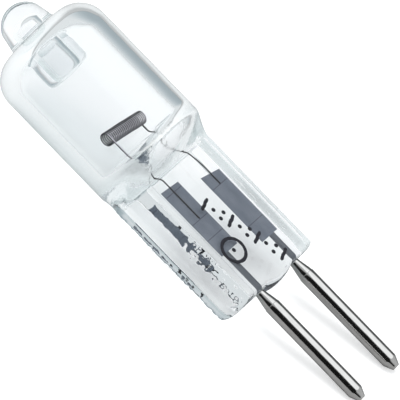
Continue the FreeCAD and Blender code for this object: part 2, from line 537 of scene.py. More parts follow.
@dataclass(frozen=True)
class BareMetal:
    """Metal of the pins or leads, with a faint grain in its colour, roughness and surface."""

    name: str
    dark: Colour
    light: Colour
    roughness: float
    grain: float
    grain_scale: float
    stretch: Point = (1.0, 1.0, 1.0)
    grain_depth: float = 0.00005
    spread: Pair = (0.7, 1.3)

    def build(self) -> bpy.types.Material:
        """Makes the metal.

        Returns:
            The material.
        """
        pen = NodePen(self.name)
        shader = pen.node("ShaderNodeBsdfPrincipled", Metallic=1.0)
        grain = pen.noise(self.grain_scale, 4.0, self.stretch)
        pen.link(pen.ramp(grain, [(0.3, self.dark), (0.7, self.light)]), shader.inputs["Base Color"])
        rough = pen.node("ShaderNodeMapRange")
        rough.inputs["To Min"].default_value = self.roughness * self.spread[0]
        rough.inputs["To Max"].default_value = self.roughness * self.spread[1]
        pen.link(grain, rough.inputs["Value"])
        pen.link(rough.outputs[0], shader.inputs["Roughness"])
        bump = pen.node("ShaderNodeBump", Strength=self.grain, Distance=self.grain_depth)
        pen.link(grain, bump.inputs["Height"])
        pen.link(bump.outputs["Normal"], shader.inputs["Normal"])
        pen.link(shader.outputs[0], pen.output.inputs["Surface"])
        return pen.material


@dataclass(frozen=True)
class WoundWire:
    """Dark wire with a painted highlight on the outer crest of each turn and painted shade in the grooves
    between them.
    """

    name: str = "tungsten_wire"
    # Painted shade colour for the grooves between turns, and painted highlight colour for the crests.
    painted_groove_shade: Colour = (0.003, 0.002, 0.005)
    crest: Colour = (0.86, 0.81, 0.88)

    def build(self) -> bpy.types.Material:
        """Makes the wire's metal, whose colour is the painted highlight and shade read from the crest value
        kept on the mesh.

        Returns:
            The material.
        """
        pen = NodePen(self.name)
        shader = pen.node("ShaderNodeBsdfPrincipled", Metallic=0.85, Roughness=0.3)
        value = pen.node("ShaderNodeAttribute", attribute_name="crest").outputs["Fac"]
        # Painted shade in the grooves, rising to a painted highlight on the crests.
        pen.link(pen.ramp(value, [(0.3, self.painted_groove_shade), (1.0, self.crest)]), shader.inputs["Base Color"])
        pen.link(shader.outputs[0], pen.output.inputs["Surface"])
        return pen.material


@dataclass(frozen=True)
class FoilMetal:
    """Slate grey foil with faint cross lines where it was welded."""

    name: str
    lines: tuple[float, ...]
    dark: Colour = (0.13, 0.15, 0.19)
    light: Colour = (0.18, 0.20, 0.24)
    line_width: float = 0.05
    line_tint: Colour = (0.45, 0.42, 0.48)

    def build(self) -> bpy.types.Material:
        """Makes the foil's metal, darker along its weld lines.

        Returns:
            The material.
        """
        pen = NodePen(self.name)
        shader = pen.node("ShaderNodeBsdfPrincipled", Metallic=0.3, Roughness=0.55)
        colour = pen.ramp(pen.noise(1.6, 4.0, (1.0, 1.0, 0.45)), [(0.3, self.dark), (0.7, self.light)])
        height = pen.part(pen.place(), "Z")
        for line in self.lines:
            beside = pen.reckon("COMPARE", height, line)
            beside.node.inputs[2].default_value = self.line_width / 2
            darker = pen.node("ShaderNodeMix", data_type="RGBA", blend_type="MULTIPLY")
            pen.link(beside, darker.inputs["Factor"])
            pen.link(colour, darker.inputs["A"])
            darker.inputs["B"].default_value = (*self.line_tint, 1.0)
            colour = darker.outputs["Result"]
        pen.link(colour, shader.inputs["Base Color"])
        pen.link(shader.outputs[0], pen.output.inputs["Surface"])
        return pen.material


@dataclass(frozen=True)
class StampInk:
    """Black ink stamped on the seal, a little uneven."""

    name: str = "stamp_ink"

    def build(self) -> bpy.types.Material:
        """Makes the ink.

        Returns:
            The material.
        """
        pen = NodePen(self.name)
        shader = pen.node("ShaderNodeBsdfPrincipled", Roughness=0.55)
        pen.link(pen.ramp(pen.noise(6.0, 3.0), [(0.3, (0.006, 0.006, 0.009)), (0.75, (0.02, 0.02, 0.03))]),
                 shader.inputs["Base Color"])
        pen.link(shader.outputs[0], pen.output.inputs["Surface"])
        return pen.material


# Glass envelope

@dataclass(frozen=True)
class CrimpedEdge:
    """Crimp of the rims' edges on one face: its start across and through, and its depth low and high."""

    across: float
    through: float
    depth: float
    depth_above: float


@dataclass
class GlassEnvelope:
    """Tube, neck and pressed seal in one piece of glass, with its hollow."""

    pose: RestPose
    sizes: BulbSizes
    shoulder_radius: float = 2.0
    stub_base_radius: float = 1.68
    stub_end_radius: float = 1.48
    stub_dome_height: float = 1.0
    stub_root_radius: float = 0.3
    rim_half: float = 1.3
    rim_width: float = 1.95
    slope_run: float = 0.5
    edge_slant: Pair = (1.0, 1.1)
    crest_radius: float = 0.25
    side_radius: float = 0.3
    back_edge_radius: float = 0.35
    corner_angles: tuple[float, ...] = (58.0, 46.0, 34.0, 12.0)
    corner_radius: float = 1.0
    end_bulge: float = 0.3
    end_wall: float = 0.85
    inner_shoulder_radius: float = 1.5
    bowl_edge_radius: float = 0.7
    bore_radius: float = 0.73
    bore_dome_height: float = 0.4
    exhaust_wall: float = 0.85
    exhaust_cap: float = 1.25
    exhaust_reach: float = 2.5
    lip_radius: float = 0.4
    skin_gap: float = 0.004
    end_start: float = 1.3
    end_round: float = 0.3
    end_power: float = 0.6
    wavy_below: float = 11.4
    wavy_fade: float = 1.6
    face_ripple: float = 0.012
    neck_ripple: float = 0.02
    neck_middle: float = 9.5
    neck_reach: float = 1.5
    side_draw: float = 0.02
    draw_start: float = 3.6
    draw_run: float = 0.7
    steady_half: float = 0.6
    floor_sag: float = 0.05
    sag_below: float = 12.4
    sag_fade: float = 2.0
    side_share: float = 0.95
    front_crimp: CrimpedEdge = CrimpedEdge(3.45, 0.2, 0.09, 0.009)
    back_crimp: CrimpedEdge = CrimpedEdge(3.95, 0.85, 0.054, 0.054)
    crimp_fade: Pair = (4.6, 5.8)
    crimp_run: float = 0.25
    crimp_level: float = 0.25
    crimp_grain: Point = (4.6, 3.8, 4.2)
    rear_crimp_share: float = 0.35
    run_steps: tuple[int, ...] = (22, 14, 8, 20, 5)
    corner_steps: int = 4
    tube_steps: int = 24
    neck_steps: int = 28
    seal_steps: int = 100
    end_steps: tuple[int, int] = (12, 8)
    hollow_sides: int = 128

    def front_edge(self, steps: int) -> list[Pair]:
        """Slanted front edge of a rim, with rounded corners.

        Args:
            steps: Number of points.

        Returns:
            The points from the rim's crest to its side.
        """
        across, through = self.edge_slant
        slant = math.atan2(through, across)
        crest = Vector((self.sizes.seal_half - across - self.crest_radius * math.tan(slant / 2),
                        self.rim_half - self.crest_radius))
        corner = Vector((self.sizes.seal_half - self.side_radius,
                         self.rim_half - through - self.side_radius * math.tan(math.pi / 4 - slant / 2)))
        count = self.corner_steps
        turns = [(crest, self.crest_radius, slant * k / count) for k in range(count + 1)]
        turns += [(corner, self.side_radius, mix(slant, math.pi / 2, k / count)) for k in range(count + 1)]
        ends = [middle + Vector((math.sin(angle), math.cos(angle))) * radius
                for middle, radius, angle in turns]
        flat = steps - 2 * count
        face = [ends[count].lerp(ends[count + 1], k / flat) for k in range(1, flat)]
        return [tuple(point) for point in ends[:count + 1] + face + ends[count + 1:-1]]

    def back_edge(self, steps: int) -> list[Pair]:
        """Rounded back edge of a rim, given as if it were in front.

        Args:
            steps: Number of points.

        Returns:
            The points from the rim's crest to its side.
        """
        radius = self.back_edge_radius
        x, y = self.sizes.seal_half - radius, self.rim_half - radius
        angles = [math.radians(90.0 * k / steps) for k in range(steps)]
        return [(x + radius * math.sin(angle), y + radius * math.cos(angle)) for angle in angles]

    def seal_quarter(self, edge: list[Pair]) -> list[Pair]:
        """Quarter of the seal's section, from its middle to its side.

        Args:
            edge: Points of the rim's edge.

        Returns:
            The points, as places across and through the seal.
        """
        web, rim, half = self.sizes.web_half, self.rim_half, self.sizes.seal_half
        web_end, crest = half - self.rim_width, edge[0][0]
        steps = self.run_steps
        points = [(web_end * k / steps[0], web) for k in range(steps[0])]
        slope = steps[1] + steps[2]
        climb = slope * 2 // 3
        for k in range(climb):
            share = k / climb
            points.append((web_end + share * self.slope_run, mix(web, rim, smooth(share))))
        for k in range(slope - climb):
            across = mix(self.slope_run, crest - web_end, k / (slope - climb))
            points.append((web_end + across, rim))
        points += edge
        side_top = edge[-1][1] * self.side_share
        points += [(half, side_top * (1.0 - k / steps[4])) for k in range(steps[4] + 1)]
        return points

    def tube_quarter(self) -> list[Pair]:
        """Quarter of the round tube's section, with as many points as the seal's.

        Returns:
            The points, from the tube's middle line to its side.
        """
        stops = (90.0,) + self.corner_angles + (0.0,)
        angles = []
        for first, last, steps in zip(stops, stops[1:], self.run_steps):
            angles += [mix(first, last, k / steps) for k in range(steps)]
        angles.append(0.0)
        radius = self.sizes.tube_radius
        return [(radius * math.cos(math.radians(a)), radius * math.sin(math.radians(a))) for a in angles]

    @staticmethod
    def whole(front: Sequence[Pair], back: Sequence[Pair]) -> list[Pair]:
        """Closed section from its front and back quarters.

        Args:
            front: Quarter of the front.
            back: Quarter of the back, given as if it were in front.

        Returns:
            The section's points.
        """
        right = list(front) + [(x, -y) for x, y in reversed(back[:-1])]
        return right + [(-x, y) for x, y in reversed(right[1:-1])]

    def end_line(self, x: float) -> float:
        """Height of the seal's lower end, with its round corners and the bulge between the pins.

        Args:
            x: Place across the seal.

        Returns:
            The height there.
        """
        half, corner = self.sizes.seal_half, self.corner_radius
        beyond = abs(x) - (half - corner)
        if beyond > 0:
            return corner - math.sqrt(max(corner * corner - beyond * beyond, 0.0))
        reach = self.sizes.pin_half_spacing - self.sizes.pin_radius
        inside = (x - self.sizes.pin_shift) / reach
        return -self.end_bulge * max(1.0 - inside * inside, 0.0)

    def wander(self, x: float, y: float, z: float) -> Pair:
        """How far the pressed glass strays from its plain form at one place.

        Args:
            x: Place across the seal.
            y: Place through it.
            z: Height.

        Returns:
            Offsets across and through the seal, inward at its sides.
        """
        amount = smooth((self.wavy_below - z) / self.wavy_fade)
        side = 1.0 if y >= 0 else -1.0
        ripple = noise.noise(Vector((x * 0.9, side * 7.0, z * 0.7))) * self.face_ripple
        top = smooth(1.0 - abs(z - self.neck_middle) / self.neck_reach)
        ripple += noise.noise(Vector((x * 1.3, side * 5.0 + 20.0, z * 1.5))) * self.neck_ripple * top
        crimp = self.crimped(x, y, z)
        draw = abs(noise.noise(Vector((z * 0.5, side * 2.0, x * 0.3)))) * self.side_draw - crimp
        inward = -math.copysign(draw, x) * smooth((abs(x) - self.draw_start) / self.draw_run)
        return inward * amount, side * (ripple + crimp) * amount

    def crimped(self, x: float, y: float, z: float) -> float:
        """Height of the crimp along the rims' edges at one place.

        Args:
            x: Place across the seal.
            y: Place through it.
            z: Height.

        Returns:
            The crimp's height, outward.
        """
        band = self.front_crimp if y > 0 else self.back_crimp
        low, high = self.crimp_fade
        edge = smooth((abs(x) - band.across) / self.crimp_run)
        edge *= smooth((abs(y) - band.through) / self.crimp_run)
        depth = mix(band.depth, band.depth_above, smooth((z - low) / (high - low)))
        if x <= 0:
            depth *= self.rear_crimp_share
        place = [part * grain for part, grain in zip((x, y, z), self.crimp_grain)]
        return (noise.noise(Vector(place)) - self.crimp_level) * edge * depth

    def tube_profile(self) -> list[Pair]:
        """Half section of the stub, shoulder and tube.

        Returns:
            The points as radius and height, from the tip down.
        """
        s = self.sizes
        root, shoulder, dome = self.stub_root_radius, self.shoulder_radius, self.stub_dome_height
        start = s.plate_height - shoulder
        profile = cap_profile(self.stub_end_radius, s.tip_height - dome, dome, 16)
        profile += arc_profile((self.stub_base_radius + root, s.plate_height + root), root, 180, 270, 6)
        profile += arc_profile((s.tube_radius - shoulder, start), shoulder, 90, 0, 20)
        profile += straight((s.tube_radius, start), (s.tube_radius, s.tube_low), self.tube_steps)
        profile.append((s.tube_radius, s.tube_low))
        return profile

    def seal_rings(self, section: list[Pair]) -> list[list[Point]]:
        """Rings of the pressed seal, down to its rounded end.

        Args:
            section: The seal's closed section.

        Returns:
            The rings, from below the neck.
        """
        rings = []
        for step in range(1, self.seal_steps + 1):
            height = mix(self.sizes.seal_top, self.end_start, step / self.seal_steps)
            rings.append([(x, y, height) for x, y in section])
        ends = [(self.end_line(x), self.end_round * self.end_fade(x)) for x, _ in section]
        down, round_off = self.end_steps
        for step in range(1, down + 1):
            rings.append([(x, y, mix(self.end_start, line + depth, step / down))
                          for (x, y), (line, depth) in zip(section, ends)])
        for step in range(1, round_off + 1):
            angle = math.radians(90.0 * step / round_off)
            flat, left = math.cos(angle) ** self.end_power, 1.0 - math.sin(angle)
            rings.append([(x, y * flat, line + depth * left) for (x, y), (line, depth) in zip(section, ends)])
        return rings

    def outside_rings(self) -> list[list[Point]]:
        """Rings of the outer surface.

        Returns:
            The rings, from the tip down to the seal's end.
        """
        s = self.sizes
        steps = self.run_steps[3]
        round_section = self.whole(self.tube_quarter(), self.tube_quarter())
        seal_section = self.whole(self.seal_quarter(self.front_edge(steps)),
                                  self.seal_quarter(self.back_edge(steps)))
        rings = []
        for radius, height in self.tube_profile():
            scale = (radius - self.skin_gap) / s.tube_radius
            rings.append([(x * scale, y * scale, height) for x, y in round_section])
        for step in range(1, self.neck_steps + 1):
            share = step / self.neck_steps
            blend = smooth(share)
            height = mix(s.tube_low, s.seal_top, share)
            rings.append([(mix(a[0], b[0], blend), mix(a[1], b[1], blend), height)
                          for a, b in zip(round_section, seal_section)])
        rings += self.seal_rings(seal_section)
        rings = [[self.strayed(point) for point in ring] for ring in rings]
        self.shut_end(rings[-1])
        return rings

    @staticmethod
    def shut_end(ring: list[Point]) -> None:
        """Brings the back half of the seal's last ring onto its front half, so that the end is shut.

        Args:
            ring: The last ring, changed in place.
        """
        half = len(ring) // 2
        for step in range(half // 2):
            ring[half - step] = ring[step]
        for step in range(1, half // 2):
            ring[half + step] = ring[-step]

    def end_fade(self, x: float) -> float:
        """Share of the end's rounding that is left at one place across the seal."""
        return 1.0 - smooth((abs(x) - (self.sizes.seal_half - self.corner_radius)) / self.corner_radius)

    def strayed(self, point: Point) -> Point:
        """One point of the outer surface, moved by the glass's waviness.

        Args:
            point: The point on the plain form.

        Returns:
            Where it comes to lie.
        """
        x, y, z = point
        if z > self.wavy_below:
            return point
        off_x, off_y = self.wander(x, y, z)
        return x + off_x, y + off_y * min(abs(y) / self.steady_half, 1.0), z

    def hollow_profile(self) -> list[Pair]:
        """Half section of the hollow: bowl, wall, shoulder, and the exhaust tube's outside, lip and bore.

        Returns:
            The points as radius and height.
        """
        s = self.sizes
        inner, outer = s.tube_radius - s.tube_wall, self.bore_radius + self.exhaust_wall
        ceiling = s.plate_height - self.end_wall
        rim = s.cavity_floor + s.bowl_depth
        edge, shoulder, lip = self.bowl_edge_radius, self.inner_shoulder_radius, self.lip_radius
        bowl = cap_profile(inner, rim, -s.bowl_depth, 24)
        profile = [point for point in bowl if inner - point[0] > edge * 0.5]
        profile += [(inner - edge * share ** 2 * 0.5, rim - edge * (share * 0.9 - 0.5))
                    for share in (0.8, 0.6, 0.4, 0.2)]
        wall_start, wall_end = (inner, rim + edge * 0.5), (inner, ceiling - shoulder)
        profile += [wall_start] + straight(wall_start, wall_end, 16)
        profile += arc_profile((inner - shoulder, ceiling - shoulder), shoulder, 0, 90, 16)
        turn = ceiling - self.exhaust_reach + lip
        profile += [(outer, ceiling)] + straight((outer, ceiling), (outer, turn), 6)
        profile += arc_profile((outer - lip, turn), lip, 0, -90, 8)
        profile += arc_profile((self.bore_radius + lip, turn), lip, 270, 180, 8)
        top = s.tip_height - self.exhaust_cap - self.bore_dome_height
        profile += straight((self.bore_radius, turn), (self.bore_radius, top), 8)
        profile += cap_profile(self.bore_radius, top, self.bore_dome_height, 10)[::-1]
        return profile

    def hollow_rings(self) -> list[list[Point]]:
        """Rings of the hollow, from its floor up its wall, down the exhaust tube and up its bore."""
        return [[self.sagged(point) for point in circle(radius, height, self.hollow_sides)]
                for radius, height in self.hollow_profile()]

    def sagged(self, point: Point) -> Point:
        """One point of the hollow, moved a little where its floor is."""
        x, y, z = point
        sag = noise.noise(Vector((x * 0.8, y * 0.8, 3.0))) * self.floor_sag
        return x, y, z + sag * smooth((self.sag_below - z) / self.sag_fade)

    def build(self) -> bpy.types.Object:
        """Makes the envelope, riding on the bulb in place of its plain CAD form.

        Returns:
            The glass.
        """
        piece = MeshPiece("envelope_glass", self.pose)
        outside = piece.add_rings(self.outside_rings())
        piece.add_fan(outside[0], (0.0, 0.0, self.sizes.tip_height))
        hollow_start = len(piece.faces)
        hollow = piece.add_rings(self.hollow_rings())
        piece.add_fan(hollow[0], self.sagged((0.0, 0.0, self.sizes.cavity_floor)))
        piece.add_fan(hollow[-1], (0.0, 0.0, self.sizes.tip_height - self.exhaust_cap))
        made = piece.build(ClearGlass().build())
        self.turn_hollow(made)
        LOG.info("glass envelope: %d outer rings, %d hollow rings, hollow from face %d",
                 len(outside), len(hollow), hollow_start)
        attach(made, "root")
        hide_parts("glass_envelope")
        return made

    @staticmethod
    def turn_hollow(piece: bpy.types.Object) -> None:
        """Makes the hollow's normals point into the hollow and the outside's away from the glass.

        Args:
            piece: The glass, with an outer shell and a hollow.
        """
        work = bmesh.new()
        work.from_mesh(piece.data)
        left = set(work.faces)
        shells = []
        while left:
            stack = [left.pop()]
            shell = set(stack)
            while stack:
                for edge in stack.pop().edges:
                    for face in edge.link_faces:
                        if face in left:
                            left.remove(face)
                            shell.add(face)
                            stack.append(face)
            shells.append(shell)
        shells.sort(key=lambda shell: sum(face.calc_area() for face in shell))
        for index, shell in enumerate(shells):
            volume = sum(face.normal.dot(face.calc_center_median()) * face.calc_area() for face in shell)
            wanted_outward = index == len(shells) - 1
            if (volume > 0) != wanted_outward:
                bmesh.ops.reverse_faces(work, faces=list(shell))
        work.to_mesh(piece.data)
        work.free()


# Filament

@dataclass
class WoundFilament:
    """Coil and both legs from one round wire."""

    pose: RestPose
    sizes: BulbSizes
    coil_radius: float = 0.43
    coil_pitch: float = 0.16
    coil_turns: int = 22
    coil_height: float = 13.3
    coil_tilt: float = 6.0
    wound_wire_radius: float = 0.045
    leg_crest: float = 0.32
    leg_rise: float = 0.87
    wound_reach: float = 1.5
    # Painted shade on the coil's top and underside, and the painted highlight on the crest of each turn.
    top_shade: float = 0.45
    top_start: float = 0.25
    top_run: float = 0.5
    under_shade: float = 0.7
    under_start: float = -0.6
    under_run: float = 0.3
    crest_start: float = 0.72
    crest_run: float = 0.22
    leg_steps: int = 6
    bend_steps: int = 20
    turn_steps: int = 36
    sides: int = 16
    front_foil_x: float = 1.4
    rear_foil_x: float = -2.0
    front_leg_end: float = 5.9
    rear_leg_end: float = 6.7
    front_bend: Pair = (9.1, 10.0)
    rear_bend: Pair = (8.1, 12.3)

    def coil(self) -> list[Vector]:
        """Middle line of the coil.

        Returns:
            Points from its front end to its rear end.
        """
        half_length = self.coil_pitch * (self.coil_turns + 0.5) / 2
        tilt = math.radians(self.coil_tilt)
        points = []
        for step in range(self.coil_turns * self.turn_steps + self.turn_steps // 2 + 1):
            turn = step / self.turn_steps
            angle = 2 * math.pi * turn
            along, above = half_length - self.coil_pitch * turn, self.coil_radius * math.sin(angle)
            points.append(Vector((along * math.cos(tilt) - above * math.sin(tilt),
                                  self.coil_radius * math.cos(angle),
                                  self.coil_height + along * math.sin(tilt) + above * math.cos(tilt))))
        return points

    def leg(self, foil_x: float, end: float, bend: Pair, coil_end: Vector) -> list[Vector]:
        """Points up one leg, from its foil to below the coil's end.

        Args:
            foil_x: Place of the leg's weld across the seal.
            end: Height of its lower end.
            bend: Heights where its bend starts and ends.
            coil_end: Where the coil begins.

        Returns:
            The leg's points.
        """
        plane = self.sizes.foil_back + self.sizes.foil_thickness + self.sizes.wire_radius * self.leg_rise
        points = [Vector((foil_x, plane, mix(end, bend[0], k / self.leg_steps)))
                  for k in range(self.leg_steps)]
        for step in range(self.bend_steps + 1):
            share = step / self.bend_steps
            ease = smooth(share)
            points.append(Vector((mix(foil_x, coil_end.x, ease), mix(plane, coil_end.y, ease),
                                  mix(bend[0], bend[1], share))))
        return points

    def crest(self, point: Vector) -> float:
        """Painted lightness of one point of the wire: a painted highlight on the outer crest of each turn,
        painted shade in the grooves, and painted shade on the coil's top and underside.

        Args:
            point: Point on the wire's surface.

        Returns:
            Nought in the groove between turns, up to 1 on a crest.
        """
        tilt = math.radians(self.coil_tilt)
        along = Vector((math.cos(tilt), 0.0, math.sin(tilt)))
        offset = point - Vector((0.0, 0.0, self.coil_height))
        across = offset - along * offset.dot(along)
        radial = across.length
        if radial > self.coil_radius + self.sizes.wire_radius * self.wound_reach:
            return self.leg_crest
        # Painted shade on the coil's top and underside.
        lift = across.z / max(radial, 0.01)
        shade = mix(1.0, self.top_shade, smooth((lift - self.top_start) / self.top_run))
        shade *= mix(1.0, self.under_shade, smooth((self.under_start - lift) / self.under_run))
        # Painted highlight on the outer crest of each turn, painted shade in the grooves.
        outward = (radial - self.coil_radius) / self.wound_wire_radius
        return smooth((outward - self.crest_start) / self.crest_run) * shade

    def thickness(self, share: float, ends: Pair) -> float:
        """Wire's radius along the path, drawn a little thinner where it is wound.

        Args:
            share: Place along the wire from 0 to 1.
            ends: Where the winding starts and ends.

        Returns:
            The radius in millimetres.
        """
        wound = smooth((share - ends[0]) / 0.01) * smooth((ends[1] - share) / 0.01)
        return mix(self.sizes.wire_radius, self.wound_wire_radius, wound)

    def build(self) -> bpy.types.Object:
        """Makes the filament in place of its flat-sided CAD form.

        Returns:
            The filament.
        """
        coil = self.coil()
        front = self.leg(self.front_foil_x, self.front_leg_end, self.front_bend, coil[0])
        rear = self.leg(self.rear_foil_x, self.rear_leg_end, self.rear_bend, coil[-1])
        path = front + coil + rear[::-1]
        ends = len(front) / len(path), 1.0 - len(rear) / len(path)
        piece = MeshPiece("wound_filament", self.pose)
        rings = piece.add_rings(tube_about(path, lambda share: self.thickness(share, ends), self.sides))
        piece.add_fan(rings[0], tuple(path[0]))
        piece.add_fan(rings[-1], tuple(path[-1]))
        made = piece.build(WoundWire().build(), crease=180.0)
        # Painted highlight and shade, kept on the mesh as the crest value.
        crests = made.data.attributes.new("crest", "FLOAT", "POINT")
        places = made.data.attributes["upright"].data
        crests.data.foreach_set("value", [self.crest(Vector(item.vector)) for item in places])
        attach(made, "root")
        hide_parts("filament")
        LOG.info("filament: %d points along the wire", len(path))
        return made


# Foils, leads and pins

@dataclass
class SealedFoils:
    """Thin foils sealed in the web, with the leads that are welded behind them."""

    pose: RestPose
    sizes: BulbSizes
    foil_half_width: float = 0.9
    foil_length: float = 5.4
    crinkle: float = 0.02
    feather: float = 0.25
    grid: tuple[int, int] = (24, 64)
    places: tuple[tuple[str, float, float, float], ...] = (
        ("front", 1.4, 8.6, 0.12), ("rear", -2.0, 7.6, 0.3))
    weld_lines: tuple[tuple[float, ...], ...] = ((8.2, 5.85, 4.5), (6.68, 3.5))

    def foil(self, label: str, x: float, top: float, slant: float,
             material: bpy.types.Material) -> bpy.types.Object:
        """One foil with feathered edges and a slight crinkle.

        Args:
            label: Front or rear.
            x: Middle of the foil across the seal.
            top: Height of its top at its middle.
            slant: How much higher its top is on the front pin's side.
            material: Finish of the foil.

        Returns:
            The foil.
        """
        across, along = self.grid
        half = self.sizes.foil_thickness / 2
        middle = self.sizes.foil_back + half
        piece = MeshPiece(label + "_foil_strip", self.pose)
        rings = []
        for step in range(along + 1):
            share = step / along
            line = []
            for k in range(across + 1):
                u = -1.0 + 2.0 * k / across
                z = mix(top - self.foil_length, top + slant * u / 2, share)
                y = middle + noise.noise(Vector((x + u * 1.3, 4.0, z * 1.1))) * self.crinkle
                taper = mix(self.feather, 1.0, min((1.0 - abs(u)) / 0.25, 1.0))
                line.append((x + u * self.foil_half_width, y, z, taper * half))
            rings.append([(a, y + depth, z) for a, y, z, depth in line]
                         + [(a, y - depth, z) for a, y, z, depth in reversed(line)])
        numbers = piece.add_rings(rings)
        for ring, flip in ((numbers[0], False), (numbers[-1], True)):
            for k in range(across):
                face = (ring[k], ring[k + 1], ring[-2 - k], ring[-1 - k])
                piece.faces.append(face[::-1] if flip else face)
        made = piece.build(material)
        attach(made, "root")
        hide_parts(label + "_foil")
        return made

    def build(self) -> None:
        """Makes both foils and dresses both leads."""
        for (label, x, top, slant), lines in zip(self.places, self.weld_lines):
            self.foil(label, x, top, slant, FoilMetal(label + "_foil_metal", lines).build())
        lead_metal = BareMetal("lead_metal", dark=(0.10, 0.11, 0.13), light=(0.2, 0.21, 0.235), roughness=0.4,
                               grain=0.3, grain_scale=5.0, stretch=(1.0, 1.0, 0.2)).build()
        for label in ("front", "rear"):
            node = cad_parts[label + "_lead"]
            node.data.materials.clear()
            node.data.materials.append(lead_metal)
        LOG.info("foils and leads: %d foils", len(self.places))


@dataclass
class ContactPins:
    """Plated sleeves swaged onto the leads."""

    pose: RestPose
    sizes: BulbSizes
    neck_radius: float = 0.31
    cone_length: float = 1.1
    bore_depth: float = 2.4
    edge_break: float = 0.03
    small_break: float = 0.02
    cone_curve: float = 0.35
    sides: int = 72

    def profile(self) -> list[Pair]:
        """Half section of a pin.

        Returns:
            The points as radius and height, from its bore round its outside to its tip.
        """
        s = self.sizes
        broad, narrow, end = s.pin_radius, s.pin_tip_radius, -s.pin_length
        edge, small = self.edge_break, self.small_break
        points = [(small, -self.bore_depth), (s.lead_radius, -self.bore_depth), (s.lead_radius, -small),
                  (s.lead_radius + small, 0.0), (self.neck_radius - edge / 2, 0.0), (self.neck_radius, -edge)]
        for k in range(1, 13):
            share = k / 12
            swell = mix(share, smooth(share), self.cone_curve)
            points.append((mix(self.neck_radius, broad - edge, swell), -self.cone_length * share))
        start = end + s.pin_tip_length
        shank, tip = (broad, -self.cone_length - 0.04), (broad, start + 0.08)
        points += [(broad - 0.012, -self.cone_length - 0.01), shank] + straight(shank, tip, 14) + [tip]
        bevel, point = (broad - edge, start - 0.04), (narrow + edge, end + 0.04)
        points += [(broad - 0.008, start + small), bevel] + straight(bevel, point, 5) + [point]
        points += [(narrow, end + 0.01), (narrow - small, end), (small, end)]
        return points

    def build(self) -> None:
        """Makes both pins in place of their plain CAD forms."""
        plating = BareMetal("pin_plating", dark=(0.80, 0.79, 0.775), light=(0.93, 0.915, 0.90),
                            roughness=0.12, grain=0.12, grain_scale=3.0, stretch=(1.0, 1.0, 0.35)).build()
        profile = self.profile()
        for label, x in (("front", self.sizes.front_pin_x), ("rear", self.sizes.rear_pin_x)):
            piece = MeshPiece(label + "_contact_pin", self.pose)
            rings = [circle(radius, height, self.sides, x, self.sizes.lead_plane)
                     for radius, height in profile]
            numbers = piece.add_rings(rings)
            piece.add_fan(numbers[0], (x, self.sizes.lead_plane, -self.bore_depth))
            piece.add_fan(numbers[-1], (x, self.sizes.lead_plane, -self.sizes.pin_length))
            made = piece.build(plating, crease=30.0)
            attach(made, "root")
            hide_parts(label + "_pin")
        LOG.info("pins: 2")


# Stamp on the seal's front face

